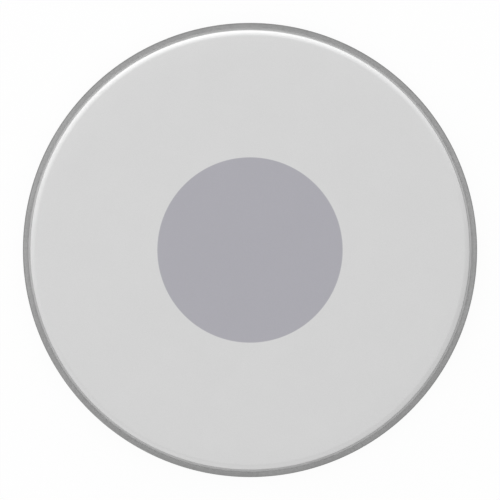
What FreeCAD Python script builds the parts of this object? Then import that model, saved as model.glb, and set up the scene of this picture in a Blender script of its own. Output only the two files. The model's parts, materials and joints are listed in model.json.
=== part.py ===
"""Coated drum head for a fourteen inch drum, millimetres, +Z up.

A sheet of polyester film is formed with a crown and a steep collar. Its skirt is
punched with a row of holes and cast into a rolled aluminium channel with resin, and
the resin that runs through the holes locks the film. A sprayed coating covers the
playing face. A thin black film dot is bonded to the underside of the film.
The origin is the centre of the ring on which the hoop's underside rests.
"""

import FreeCAD, Part
import math
import os

# Drum that the head fits
SHELL_DIAMETER = 355.6
SHELL_CLEARANCE = 0.75
BEARING_INSET = 3.5

# Rolled aluminium channel, open at the top
HOOP_WIDTH = 6.45
HOOP_HEIGHT = 9.5
INNER_WALL_HEIGHT = 6.6
LIP_WIDTH = 4.0
SHEET_GAUGE = 0.8
SHEET_BEND_RADIUS = 0.4
SEAM_GAP = 0.15
SEAM_ANGLE = -60.0

# Formed film
FILM_THICKNESS = 0.25
COLLAR_RISE = 8.0
CROWN_RADIUS = 4.3
COLLAR_BEND_RADIUS = 3.0
SKIRT_GAP = 0.2
FILM_EDGE_GAP = 0.8
PERFORATION_DIAMETER = 2.4
PERFORATION_COUNT = 36

# Cast resin that locks the film in the channel
RESIN_DROP = 0.3
RESIN_SAG = 0.25

# Sprayed coating on the playing face
COATING_THICKNESS = 0.08
COATING_EDGE_HEIGHT = 1.5
COATING_SECTORS = 8

# Dot bonded under the film
DOT_DIAMETER = 150.8
DOT_THICKNESS = 0.13
ADHESIVE_THICKNESS = 0.05
ADHESIVE_INSET = 0.4

# How far a cutter runs past the piece that it cuts
CUT_OVERRUN = 1.0

Z_AXIS = FreeCAD.Vector(0, 0, 1)
ORIGIN = FreeCAD.Vector(0, 0, 0)

# Places that more than one piece takes its size from
shell_radius = SHELL_DIAMETER / 2
hoop_inner_radius = shell_radius + SHELL_CLEARANCE
hoop_outer_radius = hoop_inner_radius + HOOP_WIDTH
film_top = HOOP_HEIGHT + COLLAR_RISE
flat_radius = shell_radius - BEARING_INSET
skirt_radius = hoop_inner_radius + SHEET_GAUGE + SKIRT_GAP + FILM_THICKNESS
film_edge = SHEET_GAUGE + FILM_EDGE_GAP


def section_point(radius, height):
    """A point of a half section, which lies in the XZ plane."""
    return FreeCAD.Vector(radius, 0, height)


def left_of(direction):
    """The unit vector a quarter turn to the left of a direction in the section."""
    return FreeCAD.Vector(-direction.z, 0, direction.x).normalize()


def meet(point_a, along_a, point_b, along_b):
    """Where two lines of the section cross."""
    cross = along_a.x * along_b.z - along_a.z * along_b.x
    between = point_b - point_a
    share = (between.x * along_b.z - between.z * along_b.x) / cross
    return point_a + along_a * share


def offset_corners(corners, distance):
    """An open run of straight lines moved to its left by a distance."""
    sides = [b - a for a, b in zip(corners, corners[1:])]
    moves = [left_of(side) * distance for side in sides]
    moved = [corners[0] + moves[0]]
    for corner, before, after, move_a, move_b in zip(
        corners[1:], sides, sides[1:], moves, moves[1:]
    ):
        moved.append(meet(corner + move_a, before, corner + move_b, after))
    moved.append(corners[-1] + moves[-1])
    return moved


def rounded_path(corners, radii):
    """Edges along a run of lines, each inner corner rounded by its own radius."""
    edges = []
    start = corners[0]
    for corner, before, after, radius in zip(
        corners[1:], corners, corners[2:], radii
    ):
        back = (before - corner).normalize()
        ahead = (after - corner).normalize()
        half_turn = back.getAngle(ahead) / 2
        reach = radius / math.tan(half_turn)
        middle = (back + ahead).normalize()
        to_arc = radius / math.sin(half_turn) - radius
        arc_start = corner + back * reach
        arc_end = corner + ahead * reach
        edges.append(Part.LineSegment(start, arc_start).toShape())
        edges.append(Part.Arc(arc_start, corner + middle * to_arc, arc_end).toShape())
        start = arc_end
    edges.append(Part.LineSegment(start, corners[-1]).toShape())
    return edges


def closed_face(edges):
    """The flat face inside a ring of edges given in any order."""
    return Part.Face(Part.Wire(Part.__sortEdges__(edges)))


def strip_section(corners, radii, thickness):
    """Section of a bent sheet whose right-hand face follows the corners.

    The sheet's other face lies to the left by the thickness, so a bend to the left
    has a radius there that is smaller by the thickness.
    """
    other = offset_corners(corners, thickness)
    other_radii = [radius - thickness for radius in radii]
    edges = rounded_path(corners, radii) + rounded_path(other, other_radii)
    edges.append(Part.LineSegment(corners[0], other[0]).toShape())
    edges.append(Part.LineSegment(corners[-1], other[-1]).toShape())
    return closed_face(edges)


def channel_corners():
    """Outside corners of the channel, from the inner wall's top to the lip's edge."""
    return [
        section_point(hoop_inner_radius, INNER_WALL_HEIGHT),
        section_point(hoop_inner_radius, 0),
        section_point(hoop_outer_radius, 0),
        section_point(hoop_outer_radius, HOOP_HEIGHT),
        section_point(hoop_outer_radius - LIP_WIDTH, HOOP_HEIGHT),
    ]


def film_corners():
    """Outer corners of the film, from the skirt's cut edge to the centre.

    The collar is the line from the skirt's bend that touches the crown's arc, whose
    centre stands under the edge of the flat playing face.
    """
    bend = section_point(skirt_radius, INNER_WALL_HEIGHT)
    crown_centre = section_point(flat_radius, film_top - CROWN_RADIUS)
    to_centre = crown_centre - bend
    lean = math.atan2(to_centre.z, to_centre.x)
    lean -= math.asin(CROWN_RADIUS / to_centre.Length)
    collar = section_point(math.cos(lean), math.sin(lean))
    inward = section_point(-1, 0)
    centre = section_point(0, film_top)
    return [
        section_point(skirt_radius, film_edge),
        bend,
        meet(bend, collar, centre, inward),
        centre,
    ]


def on_line(start, end, height):
    """The point at a height on the line through two points of the section."""
    share = (height - start.z) / (end.z - start.z)
    return start + (end - start) * share


def around_axis(shape, count):
    """Copies of a shape, evenly spaced round the axis."""
    copies = []
    for index in range(count):
        copy = shape.copy()
        copy.rotate(ORIGIN, Z_AXIS, 360 * index / count)
        copies.append(copy)
    return copies


def make_hoop():
    """Channel bent from strip, with its two ends butted at a hairline seam."""
    bend = SHEET_BEND_RADIUS + SHEET_GAUGE
    corners = channel_corners()
    bends = [bend] * len(corners[1:-1])
    section = strip_section(corners, bends, SHEET_GAUGE)
    seam_turn = math.degrees(SEAM_GAP / hoop_outer_radius)
    hoop = section.revolve(ORIGIN, Z_AXIS, 360 - seam_turn)
    hoop.rotate(ORIGIN, Z_AXIS, SEAM_ANGLE + seam_turn / 2)
    return hoop


def perforation_cutters():
    """Radial drills through the skirt, halfway up its straight part."""
    height = (film_edge + INNER_WALL_HEIGHT) / 2
    reach = FILM_THICKNESS + CUT_OVERRUN * 2
    start = section_point(skirt_radius - FILM_THICKNESS - CUT_OVERRUN, height)
    drill = Part.makeCylinder(
        PERFORATION_DIAMETER / 2, reach, start, FreeCAD.Vector(1, 0, 0)
    )
    return around_axis(drill, PERFORATION_COUNT)


def make_film():
    """Film formed with a crown, a collar and a punched skirt."""
    bends = [COLLAR_BEND_RADIUS, CROWN_RADIUS]
    section = strip_section(film_corners(), bends, FILM_THICKNESS)
    film = section.revolve(ORIGIN, Z_AXIS, 360)
    return film.cut(perforation_cutters())


def make_coating():
    """Sprayed skin on the flat, over the crown and down most of the collar.

    It is turned in equal sectors, so that a mesh divides the two faces of the thin
    skin alike and they can't cross.
    """
    edge, bend, crown, centre = film_corners()
    coating_edge = on_line(bend, crown, HOOP_HEIGHT + COATING_EDGE_HEIGHT)
    face_corners = [coating_edge, crown, centre]
    skin_corners = offset_corners(face_corners, -COATING_THICKNESS)
    skin_bends = [CROWN_RADIUS + COATING_THICKNESS]
    section = strip_section(skin_corners, skin_bends, COATING_THICKNESS)
    sector = section.revolve(ORIGIN, Z_AXIS, 360 / COATING_SECTORS)
    first, *others = around_axis(sector, COATING_SECTORS)
    return first.multiFuse(others)


def make_resin(film):
    """Resin cast in the channel round the skirt and through its holes.

    Outside the film it stands almost level with the lip and sags between the lip and
    the film. Inside the film it stands just below the inner wall's top.
    """
    cavity = offset_corners(channel_corners(), SHEET_GAUGE)
    inner_level = INNER_WALL_HEIGHT - RESIN_DROP
    outer_level = HOOP_HEIGHT - RESIN_DROP
    cavity[0] = section_point(cavity[0].x, inner_level)
    lip_edge = section_point(cavity[-1].x, outer_level)
    skirt, bend, crown, centre = offset_corners(film_corners(), FILM_THICKNESS / 2)
    film_outer = on_line(bend, crown, outer_level)
    film_inner = on_line(skirt, bend, inner_level)
    sag_point = (lip_edge + film_outer) / 2 - section_point(0, RESIN_SAG)
    bends = [SHEET_BEND_RADIUS] * len(cavity[1:-1])
    edges = rounded_path(cavity, bends)
    edges.append(Part.LineSegment(cavity[-1], lip_edge).toShape())
    edges.append(Part.Arc(lip_edge, sag_point, film_outer).toShape())
    edges.append(Part.LineSegment(film_outer, bend).toShape())
    edges.append(Part.LineSegment(bend, film_inner).toShape())
    edges.append(Part.LineSegment(film_inner, cavity[0]).toShape())
    casting = closed_face(edges).revolve(ORIGIN, Z_AXIS, 360)
    return casting.cut(film)


def make_dot_adhesive():
    """Bonding layer between the film and the dot, a little smaller than the dot."""
    height = film_top - FILM_THICKNESS - ADHESIVE_THICKNESS
    radius = DOT_DIAMETER / 2 - ADHESIVE_INSET
    return Part.makeCylinder(radius, ADHESIVE_THICKNESS, section_point(0, height))


def make_centre_dot():
    """Black film disc that damps the middle of the head from below."""
    height = film_top - FILM_THICKNESS - ADHESIVE_THICKNESS - DOT_THICKNESS
    return Part.makeCylinder(DOT_DIAMETER / 2, DOT_THICKNESS, section_point(0, height))


def main():
    film = make_film()
    pieces = {
        "hoop": make_hoop(),
        "hoop_resin": make_resin(film),
        "film": film,
        "film_coating": make_coating(),
        "dot_adhesive": make_dot_adhesive(),
        "centre_dot": make_centre_dot(),
    }
    os.makedirs("parts", exist_ok=True)
    for name, shape in pieces.items():
        shape.exportStep(f"parts/{name}.step")
        box = shape.optimalBoundingBox()
        print(
            f"{name}: {len(shape.Solids)} solid, valid {shape.isValid()},"
            f" {shape.Volume:.1f} mm3, across {box.XLength:.2f},"
            f" from z {box.ZMin:.2f} to {box.ZMax:.2f}"
        )


main()
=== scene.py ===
"""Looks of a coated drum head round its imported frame, in metres, +Z up."""

import json

import bmesh
import bpy
import numpy as np
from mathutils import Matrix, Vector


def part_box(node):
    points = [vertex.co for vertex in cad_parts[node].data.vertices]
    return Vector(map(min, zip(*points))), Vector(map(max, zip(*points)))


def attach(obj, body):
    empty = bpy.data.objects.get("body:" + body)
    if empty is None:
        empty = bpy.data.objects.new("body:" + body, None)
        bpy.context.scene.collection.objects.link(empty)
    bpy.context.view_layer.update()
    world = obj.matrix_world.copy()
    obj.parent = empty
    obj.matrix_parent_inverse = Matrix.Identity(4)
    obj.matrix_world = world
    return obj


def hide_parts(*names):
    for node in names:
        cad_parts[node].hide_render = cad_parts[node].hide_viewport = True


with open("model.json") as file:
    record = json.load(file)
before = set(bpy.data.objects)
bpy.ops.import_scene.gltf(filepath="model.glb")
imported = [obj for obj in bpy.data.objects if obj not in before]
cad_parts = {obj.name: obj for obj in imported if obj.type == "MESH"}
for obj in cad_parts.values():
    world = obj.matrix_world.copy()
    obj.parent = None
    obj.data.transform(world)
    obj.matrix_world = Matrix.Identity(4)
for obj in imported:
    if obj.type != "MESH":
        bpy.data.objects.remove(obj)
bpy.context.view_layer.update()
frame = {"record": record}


# Hoop: aluminium strip roll-formed into a channel that opens upwards, with a wide lip turned in at
# the top of its outer wall, then rolled into a ring and butted at a hairline seam. Its satin mill
# finish shows lines along the rolling. Towards the lip's edge and on the bends it is painted
# brighter: partly rubbing, partly painted light that lifts the shade near the collar and evens out
# the bends. At the lip's edge a narrow painted highlight lifts the dark line of shade there.
MM_PER_METRE = 1000
mounts = {mount["name"]: mount for mount in frame["record"]["mounts"]}
shell_socket = mounts["shell_socket"]
lip_seat = mounts["counterhoop_seat"]
socket_middle = shell_socket["pos_m"][2]
socket_half_length = shell_socket["dims"]["length_mm"] / MM_PER_METRE / 2
hoop_inner_radius = shell_socket["dims"]["r_mm"] / MM_PER_METRE
hoop_outer_radius = mounts["counterhoop_sleeve"]["dims"]["r_mm"] / MM_PER_METRE
hoop_height = lip_seat["pos_m"][2]
hoop_bend = socket_middle - socket_half_length
inner_wall_height = socket_middle + socket_half_length
lip_edge_radius = 2 * lip_seat["pos_m"][0] - (hoop_outer_radius - hoop_bend)
sheet_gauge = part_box("hoop_resin")[0].z
inside_bend = hoop_bend - sheet_gauge
cavity_inner_radius = hoop_inner_radius + sheet_gauge
cavity_outer_radius = hoop_outer_radius - sheet_gauge
lip_under = hoop_height - sheet_gauge
SHEARED_EDGE_ROUND = 0.00012
# Share of the painted brightening on the bends, against the lip's edge: partly rubbing, partly
# painted light
BEND_RUB_AND_LIGHT_SHARE = 0.7
SEAM_GAP = 0.00015
SEAM_ANGLE = np.radians(-60)
ARC_STEPS = 9
RING_STEPS = 720
WELD_DISTANCE = 5e-7
SHARP_ANGLE = np.radians(40)


def unit(vectors):
    """Vectors divided by their lengths."""
    return vectors / np.linalg.norm(vectors, axis=-1, keepdims=True)


def rounded_run(corners, radii):
    """Run of (radius, height) points through corners, each rounded by its own radius.

    With unit vectors a and b from a corner to its neighbours and h half the angle between them,
    the arc's centre lies radius / sin h from the corner along a + b. Its points are the centre
    plus the vectors to the two feet of the arc, mixed as sin((1 - t) w) and sin(t w) over sin w,
    where w is the arc's angle and t goes from 0 to 1. The first and last corners are neighbours.
    Points that fall together, as at a radius of zero, are kept once.
    """
    corners = np.array(corners, float)
    radii = np.array(radii, float)[:, None]
    back = unit(np.roll(corners, 1, axis=0) - corners)
    ahead = unit(np.roll(corners, -1, axis=0) - corners)
    half = np.arccos(np.sum(back * ahead, axis=1, keepdims=True)) / 2
    centres = corners + unit(back + ahead) * radii / np.sin(half)
    first = corners + back * radii / np.tan(half) - centres
    last = corners + ahead * radii / np.tan(half) - centres
    turn = (np.pi - 2 * half)[:, None]
    share = np.linspace(0, 1, ARC_STEPS)[None, :, None]
    swing = np.sin((1 - share) * turn) * first[:, None] + np.sin(share * turn) * last[:, None]
    run = (centres[:, None] + swing / np.sin(turn)).reshape(-1, 2)
    apart = np.linalg.norm(np.diff(run, axis=0), axis=1) > WELD_DISTANCE
    return run[np.append(True, apart)]


def turned_grid(run, turns, mark=0.0):
    """Grid of a run of points carried round the Z axis, with a row for each angle.

    The point of radius r and height h at angle t lies at (r cos t, r sin t, h), and the run may
    change from angle to angle. The UV map holds the share of a full turn and the length along the
    run, in metres. The mark is a number for each point of the run, kept as an attribute.
    """
    shape = (len(turns), run.shape[-2])
    radius = np.broadcast_to(run[..., 0], shape)
    height = np.broadcast_to(run[..., 1], shape)
    angle = np.broadcast_to(turns[:, None], shape)
    points = np.stack([radius * np.cos(angle), radius * np.sin(angle), height], axis=-1)
    steps = np.hypot(np.diff(radius, axis=1), np.diff(height, axis=1))
    length = np.pad(np.cumsum(steps, axis=1), ((0, 0), (1, 0)))
    uv = np.stack([(angle - turns[0]) / (2 * np.pi), length], axis=-1)
    return points, uv, np.broadcast_to(mark, shape)


def hoop_grid():
    """Section of the channel, closed, carried from one side of the seam round to the other.

    The mark is the share of brightening at each corner, partly rubbing and partly painted light:
    whole at the lip's edge, less on the bends.
    """
    corners = [
        (hoop_inner_radius, inner_wall_height),
        (hoop_inner_radius, 0),
        (hoop_outer_radius, 0),
        (hoop_outer_radius, hoop_height),
        (lip_edge_radius, hoop_height),
        (lip_edge_radius, lip_under),
        (cavity_outer_radius, lip_under),
        (cavity_outer_radius, sheet_gauge),
        (cavity_inner_radius, sheet_gauge),
        (cavity_inner_radius, inner_wall_height),
    ]
    edge = SHEARED_EDGE_ROUND
    radii = [edge, *[hoop_bend] * 3, edge, edge, *[inside_bend] * 3, edge]
    section = rounded_run(corners, radii)
    rub_and_light_shares = [0, *[BEND_RUB_AND_LIGHT_SHARE] * 3, 1, 1, 0, 0, 0, 0]
    rub_and_light = np.repeat(np.array(rub_and_light_shares, float), ARC_STEPS)
    half_seam = SEAM_GAP / 2 / hoop_outer_radius
    seam_end = SEAM_ANGLE + 2 * np.pi - half_seam
    turns = np.linspace(SEAM_ANGLE + half_seam, seam_end, RING_STEPS)
    return turned_grid(np.vstack([section, section[:1]]), turns, np.append(rub_and_light, rub_and_light[0]))


def quads(index):
    """Quads between neighbours on a grid of point numbers."""
    corners = [index[:-1, :-1], index[1:, :-1], index[1:, 1:], index[:-1, 1:]]
    return np.stack(corners, axis=-1).reshape(-1, 4)


def grid_piece(name, grids, end_faces=False):
    """One smooth closed mesh from grids: neighbours make quads, and points that meet are welded.

    With end faces, the first and the last row of the first grid, which run round a closed
    section, are filled.
    """
    sizes = [mark.size for _, _, mark in grids]
    starts = np.cumsum([0] + sizes[:-1])
    indices = [
        start + np.arange(mark.size).reshape(mark.shape)
        for start, (_, _, mark) in zip(starts, grids)
    ]
    faces = np.concatenate([quads(index) for index in indices]).tolist()
    if end_faces:
        faces += [indices[0][0, :-1].tolist(), indices[0][-1, :-1].tolist()]
    points = np.concatenate([grid_points.reshape(-1, 3) for grid_points, _, _ in grids])
    uvs = np.concatenate([uv.reshape(-1, 2) for _, uv, _ in grids])
    marks = np.concatenate([mark.ravel() for _, _, mark in grids])
    mesh = bpy.data.meshes.new(name)
    mesh.from_pydata(points, [], faces)
    corners = np.empty(len(mesh.loops), dtype=np.int32)
    mesh.loops.foreach_get("vertex_index", corners)
    uv_map = mesh.uv_layers.new(name="around_and_along")
    uv_map.data.foreach_set("uv", uvs[corners].ravel())
    mesh.attributes.new("mark", "FLOAT", "POINT").data.foreach_set("value", marks)

    welded = bmesh.new()
    welded.from_mesh(mesh)
    bmesh.ops.remove_doubles(welded, verts=welded.verts, dist=WELD_DISTANCE)
    bmesh.ops.recalc_face_normals(welded, faces=welded.faces)
    welded.to_mesh(mesh)
    welded.free()
    mesh.shade_smooth()
    mesh.set_sharp_from_angle(angle=SHARP_ANGLE)
    piece = bpy.data.objects.new(name, mesh)
    bpy.context.scene.collection.objects.link(piece)
    return piece


def srgb(red, green, blue):
    """Linear colour with alpha from display values of 0 to 255, by the sRGB curve's inverse."""
    display = np.array([red, green, blue]) / 255
    linear = np.where(display > 0.04045, ((display + 0.055) / 1.055) ** 2.4, display / 12.92)
    return (*linear.tolist(), 1.0)


# Rolling lines are noise drawn out along the ring: cells per turn, and per metre of the section
FINE_LINES = (60.0, 5200.0, 1.0)
BROAD_LINES = (14.0, 700.0, 1.0)
HOOP_COLOUR = srgb(132, 132, 132)
HOOP_EDGE_TINT = (0.62, 0.62, 0.62, 1.0)
# Brightening by the mark is partly rubbing and partly painted light; the edge line is a painted
# highlight over shade
RUB_AND_LIGHT_GAIN = 0.2
EDGE_HIGHLIGHT_START = 0.96
EDGE_HIGHLIGHT_GAIN = 0.28
NOISE_LOW = 0.3
NOISE_HIGH = 0.7


def put(tree, kind, inputs=None, **settings):
    """One shader node.

    Settings are its properties, and each input takes a value or another node's socket.
    """
    node = tree.nodes.new(kind)
    for name, value in settings.items():
        setattr(node, name, value)
    for name, value in (inputs or {}).items():
        if isinstance(value, bpy.types.NodeSocket):
            tree.links.new(value, node.inputs[name])
        else:
            node.inputs[name].default_value = value
    return node


def new_material(name):
    """An empty node material and its tree."""
    material = bpy.data.materials.new(name)
    material.use_nodes = True
    material.node_tree.nodes.clear()
    return material, material.node_tree


def show(tree, shader):
    """Sends a shader to the material's surface."""
    put(tree, "ShaderNodeOutputMaterial", {"Surface": shader.outputs[0]})


def surface(tree, inputs):
    """The material's surface as one Principled shader."""
    show(tree, put(tree, "ShaderNodeBsdfPrincipled", inputs))


def object_place(tree):
    """Where a point lies on the object, in metres."""
    return put(tree, "ShaderNodeTexCoord").outputs["Object"]


def point_mark(tree):
    """The mark that the mesh carries at a point."""
    return put(tree, "ShaderNodeAttribute", attribute_name="mark").outputs["Fac"]


def reckon(tree, operation, *values, clamp=False):
    """One step of arithmetic on numbers and sockets."""
    inputs = dict(enumerate(values))
    node = put(tree, "ShaderNodeMath", inputs, operation=operation, use_clamp=clamp)
    return node.outputs[0]


def ramp(tree, value, low, high, at_low=0.0, at_high=1.0, soft=False):
    """A value carried from one range to another and held at its ends.

    Between them it goes in a straight line or, if soft, in a smooth step.
    """
    ends = {"From Min": low, "From Max": high, "To Min": at_low, "To Max": at_high}
    kind = "SMOOTHSTEP" if soft else "LINEAR"
    node = put(tree, "ShaderNodeMapRange", {"Value": value, **ends}, interpolation_type=kind)
    return node.outputs["Result"]


def varied(tree, noise, low, high):
    """A value that goes from low to high with a noise, over the range that holds most of it."""
    return ramp(tree, noise, NOISE_LOW, NOISE_HIGH, low, high)


def toned(tree, colour, factor):
    """A colour multiplied by a factor that varies over the surface."""
    colour = colour if isinstance(colour, bpy.types.NodeSocket) else colour[:3]
    node = put(tree, "ShaderNodeVectorMath", {0: colour, "Scale": factor}, operation="SCALE")
    return node.outputs["Vector"]


def relief(tree, height, strength, depth):
    """A normal tilted by a height."""
    inputs = {"Height": height, "Strength": strength, "Distance": depth}
    return put(tree, "ShaderNodeBump", inputs).outputs["Normal"]


def uneven_group():
    """Uneven tone: a cloudy noise at a given scale, and a factor about 1.

    The factor is 1 plus an amount times the noise, spread from -1 to 1.
    """
    group = bpy.data.node_groups.new("uneven_tone", "ShaderNodeTree")
    group.interface.new_socket("Vector", in_out="INPUT", socket_type="NodeSocketVector")
    group.interface.new_socket("Scale", in_out="INPUT", socket_type="NodeSocketFloat")
    group.interface.new_socket("Amount", in_out="INPUT", socket_type="NodeSocketFloat")
    group.interface.new_socket("Factor", in_out="OUTPUT", socket_type="NodeSocketFloat")
    group.interface.new_socket("Noise", in_out="OUTPUT", socket_type="NodeSocketFloat")
    given = put(group, "NodeGroupInput").outputs
    place = {"Vector": given["Vector"], "Scale": given["Scale"]}
    cloud = put(group, "ShaderNodeTexNoise", {**place, "Detail": 4.0, "Roughness": 0.55})
    noise = cloud.outputs["Fac"]
    spread = varied(group, noise, low=-1.0, high=1.0)
    factor = reckon(group, "MULTIPLY_ADD", spread, given["Amount"], 1.0)
    put(group, "NodeGroupOutput", {"Factor": factor, "Noise": noise})
    return group


uneven_tone = uneven_group()


def uneven(tree, place, scale, amount):
    """The uneven tone group placed in a material: its factor and its noise."""
    inputs = {"Vector": place, "Scale": scale, "Amount": amount}
    outputs = put(tree, "ShaderNodeGroup", inputs, node_tree=uneven_tone).outputs
    return outputs["Factor"], outputs["Noise"]


def satin_aluminium():
    """Satin mill aluminium with fine and broad rolling lines and a faint stain.

    The metal is painted a little brighter, in patches, by the mark: partly rubbing, partly painted
    light that lifts the shade near the collar and on the bends. Where the mark comes near 1, at the
    lip's edge, a narrow painted highlight lifts the dark line of shade there.
    """
    material, tree = new_material("satin_aluminium")
    place = object_place(tree)
    uv = put(tree, "ShaderNodeUVMap", uv_map="around_and_along").outputs["UV"]
    fine_place = put(tree, "ShaderNodeMapping", {"Vector": uv, "Scale": FINE_LINES}).outputs[0]
    broad_place = put(tree, "ShaderNodeMapping", {"Vector": uv, "Scale": BROAD_LINES}).outputs[0]
    fine_tone, fine = uneven(tree, fine_place, scale=1.0, amount=0.11)
    broad_tone, broad = uneven(tree, broad_place, scale=1.0, amount=0.05)
    stain_tone, _ = uneven(tree, place, scale=55.0, amount=0.05)
    patch_tone, _ = uneven(tree, place, scale=420.0, amount=0.5)
    mark = point_mark(tree)
    # Painted light as well as rubbing: the metal brightened by the mark, in patches
    rubbed_and_lit = reckon(tree, "MULTIPLY", mark, patch_tone, clamp=True)
    # Painted highlight: a narrow bright line at the lip's edge, over the dark line of shade there
    at_edge = ramp(tree, mark, EDGE_HIGHLIGHT_START, 1.0)
    painted_edge_highlight = reckon(tree, "MULTIPLY", at_edge, patch_tone)
    line_tone = reckon(tree, "MULTIPLY", fine_tone, broad_tone)
    tone = reckon(tree, "MULTIPLY", line_tone, stain_tone)
    tone = reckon(tree, "MULTIPLY_ADD", rubbed_and_lit, RUB_AND_LIGHT_GAIN, tone)
    tone = reckon(tree, "MULTIPLY_ADD", painted_edge_highlight, EDGE_HIGHLIGHT_GAIN, tone)
    fine_rough = varied(tree, fine, low=0.22, high=0.28)
    broad_rough = varied(tree, broad, low=0.22, high=0.3)
    surface(
        tree,
        {
            "Base Color": toned(tree, HOOP_COLOUR, tone),
            "Metallic": 1.0,
            "Roughness": reckon(tree, "ADD", fine_rough, broad_rough),
            "Specular Tint": HOOP_EDGE_TINT,
            "Normal": relief(tree, fine, strength=0.2, depth=0.00002),
        },
    )
    return material


def dress(piece, material, node):
    """The piece gets its material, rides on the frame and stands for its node."""
    piece.data.materials.append(material)
    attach(piece, "root")
    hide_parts(node)


hoop = grid_piece("hoop_rolled", [hoop_grid()], end_faces=True)
dress(hoop, satin_aluminium(), "hoop")


# Film: one sheet of hazy polyester, pressed hot into a flat face with a rounded crown, a steep
# collar and a skirt. The skirt is punched with a row of holes and stands in the channel. The sheet
# is glossy where it is bare.
flat_radius, _, film_under = mounts["bearing_edge_seat"]["pos_m"]
film_low, film_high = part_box("film")
film_edge = film_low.z
film_top = film_high.z
film_thickness = film_top - film_under
skirt_radius = film_high.x
skirt_inner_radius = skirt_radius - film_thickness
coating_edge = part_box("film_coating")[0].z
CROWN_RADIUS = 0.0043
COLLAR_BEND_RADIUS = 0.003
PERFORATION_RADIUS = 0.0012
PERFORATION_COUNT = 36
perforation_height = (film_edge + inner_wall_height) / 2
BAND_ABOVE_HOLES = 0.0021
band_top = perforation_height + BAND_ABOVE_HOLES
BAND_SIDE_STEPS = 4
HOLE_SURROUND_STEPS = 2
FLAT_STEP = 0.015
COATING_FADE = 0.0012
# Bare film: the grey behind the clear sheet, darkened further as painted shade at the collar's foot
BARE_FILM_AND_SHADE_COLOUR = srgb(184, 184, 184)
BACKED_FILM_COLOUR = srgb(208, 208, 207)
ring_turns = np.linspace(0, 2 * np.pi, RING_STEPS + 1)


def collar_lean():
    """Angle of the collar's line, which starts at the skirt's bend and touches the crown's arc.

    It is the direction from the bend to the arc's centre, less the angle whose sine is the arc's
    radius over the distance between them.
    """
    crown_centre_height = film_top - CROWN_RADIUS
    towards = np.array([flat_radius - skirt_radius, crown_centre_height - inner_wall_height])
    return np.arctan2(towards[1], towards[0]) - np.arcsin(CROWN_RADIUS / np.hypot(*towards))


lean = collar_lean()


def collar_radius(height, depth=0.0):
    """Radius of the collar's straight face at a height, at a depth below the film's outer face."""
    return skirt_radius + (height - inner_wall_height) / np.tan(lean) - depth / np.sin(lean)


def film_face(depth):
    """One face of the film, from the top of its punched band to the centre.

    It lies at a depth below the film's outer face. The skirt, collar and flat are set in by the
    depth, so the bend between skirt and collar moves by the depth times the tangent of half the
    bend's turn, and each arc's radius is less by the depth.
    """
    bend = inner_wall_height + depth * np.tan(np.pi / 4 - lean / 2)
    top = film_top - depth
    wall = skirt_radius - depth
    corners = [(wall, band_top), (wall, bend), (collar_radius(top, depth), top), (0, top)]
    return rounded_run(corners, [0, COLLAR_BEND_RADIUS - depth, CROWN_RADIUS - depth, 0])


def divided(run, longest):
    """The run with points added in equal steps where two lie further apart than the longest."""
    lengths = np.linalg.norm(np.diff(run, axis=0), axis=1)
    counts = np.maximum(1, np.ceil(lengths / longest)).astype(int)
    leg = np.repeat(np.arange(len(counts)), counts)
    step = np.arange(len(leg)) - np.repeat(np.cumsum(counts) - counts, counts)
    share = (step / counts[leg])[:, None]
    return np.vstack([run[leg] * (1 - share) + run[leg + 1] * share, run[-1:]])


def skirt_grid(turn, radius, height):
    """Grid of points on the upright skirt, from arrays of angle, radius and height."""
    turn, radius, height = np.broadcast_arrays(turn, radius, height)
    points = np.stack([radius * np.cos(turn), radius * np.sin(turn), height], axis=-1)
    return points, np.stack([turn / (2 * np.pi), height], axis=-1), np.zeros(turn.shape)


def punched_band():
    """The skirt's lower band, as grids of its two faces, the holes' walls and the cut edge.

    The band has an equal share for each hole. A loop of points goes evenly round the hole, another
    of as many goes along the bottom, right, top and left of the share, and points between them lie
    on straight lines. A distance across the hole gives an angle whose sine is that distance over
    the radius, as the punch goes straight in.
    """
    half = np.pi / PERFORATION_COUNT
    along = np.linspace(-half, half, RING_STEPS // PERFORATION_COUNT + 1)
    up = np.linspace(film_edge, band_top, BAND_SIDE_STEPS + 1)
    right = np.full(len(up) - 1, half)
    left = np.full(len(up), -half)
    bottom = np.full(len(along) - 1, film_edge)
    top = np.full(len(along) - 1, band_top)
    border_turn = np.concatenate([along[:-1], right, along[:0:-1], left])
    border_height = np.concatenate([bottom, up[:-1], top, up[::-1]])
    loop = np.linspace(0, 2 * np.pi, len(border_turn))
    loop = loop - loop[len(along) // 2] - np.pi / 2
    across = PERFORATION_RADIUS * np.cos(loop)
    hole_height = perforation_height + PERFORATION_RADIUS * np.sin(loop)
    share = np.linspace(0, 1, HOLE_SURROUND_STEPS + 1)
    height = hole_height[:, None] * (1 - share) + border_height[:, None] * share
    walls = np.array([skirt_radius, skirt_inner_radius])
    wall_turn = np.arcsin(across[:, None] / walls)
    grids = [turned_grid(np.array([(wall, film_edge) for wall in walls]), ring_turns)]
    for centre in np.arange(PERFORATION_COUNT) * 2 * half:
        for wall, hole_turn in zip(walls, wall_turn.T):
            turn = hole_turn[:, None] * (1 - share) + border_turn[:, None] * share
            grids.append(skirt_grid(centre + turn, wall, height))
        grids.append(skirt_grid(centre + wall_turn, walls, hole_height[:, None]))
    return grids


def mixed(tree, share, colour_a, colour_b):
    """A colour that goes from the first to the second with a share."""
    inputs = {"Factor": share, "A": colour_a, "B": colour_b}
    return put(tree, "ShaderNodeMix", inputs, data_type="RGBA").outputs["Result"]


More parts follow.
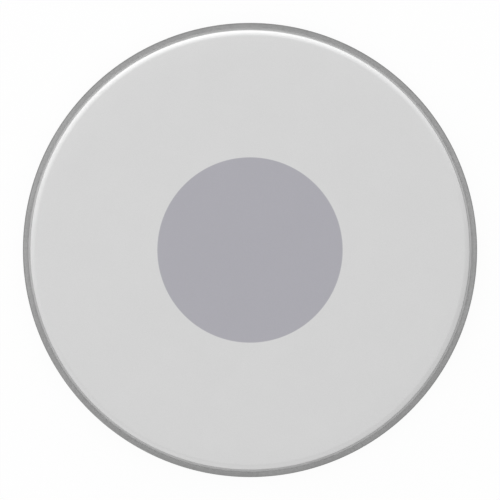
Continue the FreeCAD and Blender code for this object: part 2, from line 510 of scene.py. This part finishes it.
def clear_film():
    """Glossy hazy polyester, which takes the tone of what lies behind it.

    That is the pale coating on the face and crown, and where the film is bare, low on the collar
    and in the skirt, the grey resin, made darker still as painted shade at the collar's foot.
    """
    material, tree = new_material("clear_film")
    place = object_place(tree)
    cloud_tone, cloud = uneven(tree, place, scale=30.0, amount=0.015)
    _, wave = uneven(tree, place, scale=18.0, amount=0.0)
    height = put(tree, "ShaderNodeSeparateXYZ", {0: place}).outputs["Z"]
    coated = ramp(tree, height, coating_edge, coating_edge + COATING_FADE, soft=True)
    # Below the coating's edge, the bare grey, which carries painted shade at the collar's foot
    colour = mixed(tree, coated, BARE_FILM_AND_SHADE_COLOUR, BACKED_FILM_COLOUR)
    surface(
        tree,
        {
            "Base Color": toned(tree, colour, cloud_tone),
            "Roughness": varied(tree, cloud, low=0.18, high=0.26),
            "Normal": relief(tree, wave, strength=0.12, depth=0.0006),
        },
    )
    return material


outer_face = film_face(0)
inner_face = film_face(film_thickness)
skirt_band = punched_band()
face_runs = [divided(face, FLAT_STEP) for face in (outer_face, inner_face)]
film_faces = [turned_grid(run, ring_turns) for run in face_runs]
film = grid_piece("film_formed", film_faces + skirt_band)
dress(film, clear_film(), "film")


# Resin: a two-part casting resin poured into the channel round the film's skirt and through its
# holes, which locks the film. It stands just below the lip, draws down in the slot as it cures,
# and keeps small ripples and pinholes.
resin_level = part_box("hoop_resin")[1].z
inner_resin_level = inner_wall_height - (hoop_height - resin_level)
RESIN_SAG = 0.00025
RIPPLE_SHARE = 0.2
RIPPLE_WAVES = [5, 11, 17, 31, 54]
SAG_STEPS = 13
RESIN_COLOUR = srgb(183, 183, 183)
PINHOLE_CELLS_PER_METRE = 900.0
PINHOLE_CORE = 0.08
PINHOLE_RIM = 0.14
PINHOLE_SHADE = 0.86


def ripple(turns, waves, seed):
    """Unevenness round the ring, from -1 to 1: the mean of sines with whole numbers of waves."""
    phases = np.random.default_rng(seed).uniform(0, 2 * np.pi, len(waves))
    return np.mean(np.sin(np.outer(turns, waves) + phases), axis=1)


def resin_grid():
    """The casting's skin, from the inside of the punched band round to its outside.

    It goes down into the channel, round it and up over the slot. Across the slot the surface sags
    as 4 t (1 - t), where t goes from the lip to the film, by a depth that ripples round the ring.
    Below the slot it follows the film's outer face from the end of its bend down to the band.
    """
    corners = [
        (skirt_inner_radius, band_top),
        (skirt_inner_radius, inner_resin_level),
        (cavity_inner_radius, inner_resin_level),
        (cavity_inner_radius, sheet_gauge),
        (cavity_outer_radius, sheet_gauge),
        (cavity_outer_radius, lip_under),
        (lip_edge_radius, lip_under),
    ]
    channel = rounded_run(corners, [0, 0, 0, *[inside_bend] * 3, 0])
    share = np.linspace(0, 1, SAG_STEPS)
    slot_radius = lip_edge_radius + (collar_radius(resin_level) - lip_edge_radius) * share
    slot = np.stack([slot_radius, np.full(SAG_STEPS, resin_level)], axis=1)
    beside_film = outer_face[ARC_STEPS::-1]
    run = np.vstack([channel, slot, beside_film])
    slot_sag = 4 * share * (1 - share)
    sag = np.concatenate([np.zeros(len(channel)), slot_sag, np.zeros(len(beside_film))])
    depth = RESIN_SAG * (1 + RIPPLE_SHARE * ripple(ring_turns, RIPPLE_WAVES, seed=3))
    height = run[:, 1] - depth[:, None] * sag
    return turned_grid(np.stack(np.broadcast_arrays(run[:, 0], height), axis=-1), ring_turns)


def casting_resin():
    """Grey cast resin, a little glossy and cloudy, with pinholes at the hearts of small cells."""
    material, tree = new_material("casting_resin")
    place = object_place(tree)
    cloud_tone, cloud = uneven(tree, place, scale=120.0, amount=0.05)
    cell_inputs = {"Vector": place, "Scale": PINHOLE_CELLS_PER_METRE}
    cells = put(tree, "ShaderNodeTexVoronoi", cell_inputs).outputs["Distance"]
    pinholes = ramp(tree, cells, PINHOLE_CORE, PINHOLE_RIM, at_low=PINHOLE_SHADE)
    surface(
        tree,
        {
            "Base Color": toned(tree, RESIN_COLOUR, reckon(tree, "MULTIPLY", cloud_tone, pinholes)),
            "Roughness": varied(tree, cloud, low=0.34, high=0.46),
            "Specular IOR Level": 1.0,
            "Normal": relief(tree, pinholes, strength=0.3, depth=0.0001),
        },
    )
    return material


resin = grid_piece("hoop_resin_cast", [resin_grid()] + skirt_band)
dress(resin, casting_resin(), "hoop_resin")


# Coating: a matte white paint sprayed on the playing face, over the crown and most of the way down
# the collar. It dries with a fine grain, fades out unevenly at its lower edge, and lets the dark
# dot under the film show.
coating_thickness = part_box("film_coating")[1].z - film_top
dot_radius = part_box("centre_dot")[1].x
EDGE_WANDER = 0.0004
EDGE_WAVES = [3, 7, 13, 29, 47, 71]
COLLAR_STEPS = 8
CROWN_STEPS = 14
FLAT_STEPS = 12
DOT_EDGE_BLUR = 0.0006
COATING_COLOUR = srgb(212, 212, 212)
COVERED_DOT_COLOUR = srgb(170, 169, 176)
NOISE_MIDDLE = 0.5
COVER_GRAIN = 1.2
BARE_COVER = 0.15
FULL_COVER = 0.8


def coating_grids():
    """The coating's skin and its underside on the film, from the lower edge to the centre.

    The film's outer face is followed up the collar, round the crown's arc and in to the centre.
    The lower edge wanders round the ring. The skin stands off along the normal by the coating's
    thickness, which grows from nothing at the edge as the squared sine of a quarter turn. The mark
    is that share of the thickness.
    """
    edge = coating_edge + EDGE_WANDER * (1 + ripple(ring_turns, EDGE_WAVES, seed=8))
    swing = np.linspace(lean - np.pi / 2, np.pi / 2, CROWN_STEPS)
    crown_normal = np.stack([np.cos(swing), np.sin(swing)], axis=1)
    crown = np.array([flat_radius, film_top - CROWN_RADIUS]) + CROWN_RADIUS * crown_normal
    inward = np.linspace(flat_radius, 0, FLAT_STEPS)[1:]
    flat = np.stack([inward, np.full(len(inward), film_top)], axis=1)
    share = np.linspace(0, 1, COLLAR_STEPS)[:-1]
    collar_height = edge[:, None] + (crown[0, 1] - edge[:, None]) * share
    collar = np.stack([collar_radius(collar_height), collar_height], axis=-1)
    above = np.vstack([crown, flat])
    above_all_round = np.broadcast_to(above, (len(ring_turns), *above.shape))
    face = np.concatenate([collar, above_all_round], axis=1)
    collar_normal = np.tile(crown_normal[:1], (len(share), 1))
    flat_normal = np.tile(crown_normal[-1:], (len(flat), 1))
    normal = np.vstack([collar_normal, crown_normal, flat_normal])
    build_up = np.concatenate([np.sin(share * np.pi / 2) ** 2, np.ones(len(above))])
    skin = face + normal * (build_up * coating_thickness)[:, None]
    return [turned_grid(run, ring_turns, build_up) for run in (skin, face)]


def sprayed_coating():
    """Matte sprayed coating with grain and clouds from noise.

    The dot shows through as a disc of tone with a soft edge. Where the coating thins out, the
    grain added to the mark leaves specks of bare film, in its grey that carries painted shade at
    the collar's foot.
    """
    material, tree = new_material("sprayed_coating")
    place = object_place(tree)
    flattened = {0: place, 1: (1.0, 1.0, 0.0)}
    level_place = put(tree, "ShaderNodeVectorMath", flattened, operation="MULTIPLY").outputs[0]
    length = put(tree, "ShaderNodeVectorMath", {0: level_place}, operation="LENGTH")
    radius = length.outputs["Value"]
    half_blur = DOT_EDGE_BLUR / 2
    beside_dot = ramp(tree, radius, dot_radius - half_blur, dot_radius + half_blur, soft=True)
    colour = mixed(tree, beside_dot, COVERED_DOT_COLOUR, COATING_COLOUR)
    cloud_tone, cloud = uneven(tree, place, scale=35.0, amount=0.008)
    grain_tone, grain = uneven(tree, place, scale=2600.0, amount=0.04)
    speckle = reckon(tree, "SUBTRACT", grain, NOISE_MIDDLE)
    cover = reckon(tree, "MULTIPLY_ADD", speckle, COVER_GRAIN, point_mark(tree))
    covered = ramp(tree, cover, BARE_COVER, FULL_COVER, soft=True)
    # Thin coating shows bare film, whose grey carries painted shade at the collar's foot
    colour = mixed(tree, covered, BARE_FILM_AND_SHADE_COLOUR, colour)
    surface(
        tree,
        {
            "Base Color": toned(tree, colour, reckon(tree, "MULTIPLY", cloud_tone, grain_tone)),
            "Roughness": varied(tree, cloud, low=0.68, high=0.76),
            "Specular IOR Level": 0.25,
            "Normal": relief(tree, grain, strength=0.5, depth=0.00012),
        },
    )
    return material


coating = grid_piece("coating_sprayed", coating_grids())
dress(coating, sprayed_coating(), "film_coating")


# Dot adhesive: the clear pressure-sensitive layer that holds the dot under the film. Only its edge
# shows, as a narrow glossy step drawn in a little from the dot's edge.
adhesive_low, adhesive_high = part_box("dot_adhesive")
EDGE_ROUND_SHARE = 0.35
ADHESIVE_COLOUR = srgb(120, 120, 122)


def disc_grid(radius, low, high):
    """A thin disc: a run from the centre below, round its softened edge, to the centre above."""
    edge_round = (high - low) * EDGE_ROUND_SHARE
    corners = [(0, low), (radius, low), (radius, high), (0, high)]
    run = rounded_run(corners, [0, edge_round, edge_round, 0])
    return turned_grid(divided(run, FLAT_STEP), ring_turns)


def clear_adhesive():
    """Glossy clear adhesive over a dark ground, with cloudy trapped air."""
    material, tree = new_material("clear_adhesive")
    cloud_tone, cloud = uneven(tree, object_place(tree), scale=300.0, amount=0.2)
    surface(
        tree,
        {
            "Base Color": toned(tree, ADHESIVE_COLOUR, cloud_tone),
            "Roughness": varied(tree, cloud, low=0.15, high=0.25),
        },
    )
    return material


adhesive_disc = disc_grid(adhesive_high.x, adhesive_low.z, adhesive_high.z)
adhesive = grid_piece("dot_adhesive_layer", [adhesive_disc])
dress(adhesive, clear_adhesive(), "dot_adhesive")


# Centre dot: a disc die-cut from thin black polyester and bonded under the film to damp its
# middle. It is satin black, with a fine pebble from the film's matte side and a die-cut edge
# rolled slightly over.
dot_low, dot_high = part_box("centre_dot")
DOT_COLOUR = srgb(34, 34, 37)


def black_film():
    """Satin black polyester with a fine pebble and cloudy gloss."""
    material, tree = new_material("black_film")
    place = object_place(tree)
    cloud_tone, cloud = uneven(tree, place, scale=60.0, amount=0.12)
    _, pebble = uneven(tree, place, scale=1100.0, amount=0.0)
    surface(
        tree,
        {
            "Base Color": toned(tree, DOT_COLOUR, cloud_tone),
            "Roughness": varied(tree, cloud, low=0.32, high=0.44),
            "Normal": relief(tree, pebble, strength=0.2, depth=0.00005),
        },
    )
    return material


dot = grid_piece("centre_dot_cut", [disc_grid(dot_radius, dot_low.z, dot_high.z)])
dress(dot, black_film(), "centre_dot")


# Floor: a plain white sweep that the hoop rests on. It is open under the head, where nobody sees
# it, so that light from below reaches the underside, and its back is clear so that the underside
# can be looked at.
FLOOR_RADIUS = 9.0
FLOOR_WHITE = (0.9, 0.9, 0.9, 1.0)
SHADOW_SHARE = 0.06


def seen_directly(tree):
    """1 for camera rays and those that metal or glass send on, which see the backdrop as white."""
    path = put(tree, "ShaderNodeLightPath").outputs
    shown = reckon(tree, "ADD", path["Is Camera Ray"], path["Is Glossy Ray"])
    return reckon(tree, "ADD", shown, path["Is Transmission Ray"], clamp=True)


def mixed_shader(tree, share, shader_a, shader_b):
    """A shader that goes from the first to the second with a share."""
    inputs = {0: share, 1: shader_a.outputs[0], 2: shader_b.outputs[0]}
    return put(tree, "ShaderNodeMixShader", inputs)


def white_floor():
    """White to the eye and clear from behind, with a share of diffuse white for the shadow."""
    material, tree = new_material("white_floor")
    glow_share = reckon(tree, "MULTIPLY", seen_directly(tree), 1 - SHADOW_SHARE)
    paint = put(tree, "ShaderNodeBsdfDiffuse", {"Color": FLOOR_WHITE})
    glow = put(tree, "ShaderNodeEmission", {"Strength": 1.0})
    front = mixed_shader(tree, glow_share, paint, glow)
    back = put(tree, "ShaderNodeBsdfTransparent")
    behind = put(tree, "ShaderNodeNewGeometry").outputs["Backfacing"]
    show(tree, mixed_shader(tree, behind, front, back))
    return material


floor_run = np.array([(FLOOR_RADIUS, 0.0), (hoop_outer_radius - hoop_bend, 0.0)])
floor_points, _, _ = turned_grid(floor_run, ring_turns[:-1])
floor_index = np.arange(2 * RING_STEPS).reshape(RING_STEPS, 2)
floor_quads = quads(np.vstack([floor_index, floor_index[:1]]))
floor_mesh = bpy.data.meshes.new("floor")
floor_mesh.from_pydata(floor_points.reshape(-1, 3), [], floor_quads.tolist())
floor_mesh.materials.append(white_floor())
floor = bpy.data.objects.new("floor", floor_mesh)
bpy.context.scene.collection.objects.link(floor)


# Light: an even white studio all round, with low soft boxes that brighten the collar at the top
# left and, less, at the bottom left. The main box is polarised, so only a weak gleam of it shows
# in the gloss. Two small cards at the left and right show only in the gloss of the rim.
AMBIENT = 0.85
BOX_DISTANCE = 2.2
CARD_DISTANCE = 0.6
KEY_AZIMUTH = np.radians(102)
KEY_ELEVATION = np.radians(8)
KEY_SIZE = (2.2, 0.6)
KEY_POWER = 40.0
GLEAM_POWER = 9.0
FILL_AZIMUTH = np.radians(225)
FILL_ELEVATION = np.radians(22)
FILL_SIZE = (1.6, 0.7)
FILL_POWER = 5.5
CARD_ELEVATION = np.radians(60)
CARD_SIZE = (0.3, 0.3)
LEFT_CARD_AZIMUTH = np.radians(165)
LEFT_CARD_POWER = 0.5
RIGHT_CARD_AZIMUTH = np.radians(15)
RIGHT_CARD_POWER = 0.43

studio = bpy.data.worlds.new("studio")
studio.use_nodes = True
sky = studio.node_tree
sky.nodes.clear()
white_level = ramp(sky, seen_directly(sky), low=0.0, high=1.0, at_low=AMBIENT)
dome = put(sky, "ShaderNodeBackground", {"Strength": white_level, "Color": (1.0, 1.0, 1.0, 1.0)})
put(sky, "ShaderNodeOutputWorld", {"Surface": dome.outputs[0]})
bpy.context.scene.world = studio


def soft_box(name, azimuth, elevation, distance, size, power, diffuse=True, gloss=True):
    """A lit panel that faces the centre of the floor from an azimuth, counted from +X.

    Its elevation is the angle above the floor. It can be left out of the diffuse light or out of
    the gloss.
    """
    lamp = bpy.data.lights.new(name, "AREA")
    lamp.shape = "RECTANGLE"
    lamp.size, lamp.size_y = size
    lamp.energy = power
    box = bpy.data.objects.new(name, lamp)
    reach = distance * np.cos(elevation)
    height = distance * np.sin(elevation)
    box.location = (reach * np.cos(azimuth), reach * np.sin(azimuth), height)
    box.rotation_euler = (np.pi / 2 - elevation, 0, azimuth + np.pi / 2)
    box.visible_camera = False
    box.visible_diffuse = diffuse
    box.visible_glossy = gloss
    bpy.context.scene.collection.objects.link(box)


key_place = (KEY_AZIMUTH, KEY_ELEVATION, BOX_DISTANCE, KEY_SIZE)
fill_place = (FILL_AZIMUTH, FILL_ELEVATION, BOX_DISTANCE, FILL_SIZE)
card_shape = (CARD_ELEVATION, CARD_DISTANCE, CARD_SIZE)
soft_box("key_light", *key_place, KEY_POWER, gloss=False)
soft_box("gleam_light", *key_place, GLEAM_POWER, diffuse=False)
soft_box("fill_light", *fill_place, FILL_POWER)
soft_box("left_card", LEFT_CARD_AZIMUTH, *card_shape, LEFT_CARD_POWER, diffuse=False)
soft_box("right_card", RIGHT_CARD_AZIMUTH, *card_shape, RIGHT_CARD_POWER, diffuse=False)


# Camera: straight above the centre with a long lens, so that the hoop spans the same part of the
# frame as in the photograph, which shows no perspective.
IMAGE_PIXELS = 500
HOOP_RADIUS_PIXELS = 227.1
LENS = 1200.0
camera = bpy.data.cameras.new("camera")
camera.lens = LENS
frame_width = IMAGE_PIXELS / HOOP_RADIUS_PIXELS * hoop_outer_radius
widest_height = hoop_height - hoop_bend
viewer = bpy.data.objects.new("camera", camera)
viewer.location = (0, 0, widest_height + frame_width * LENS / camera.sensor_width)
bpy.context.scene.collection.objects.link(viewer)
bpy.context.scene.camera = viewer

bpy.context.scene.view_settings.view_transform = "Standard"
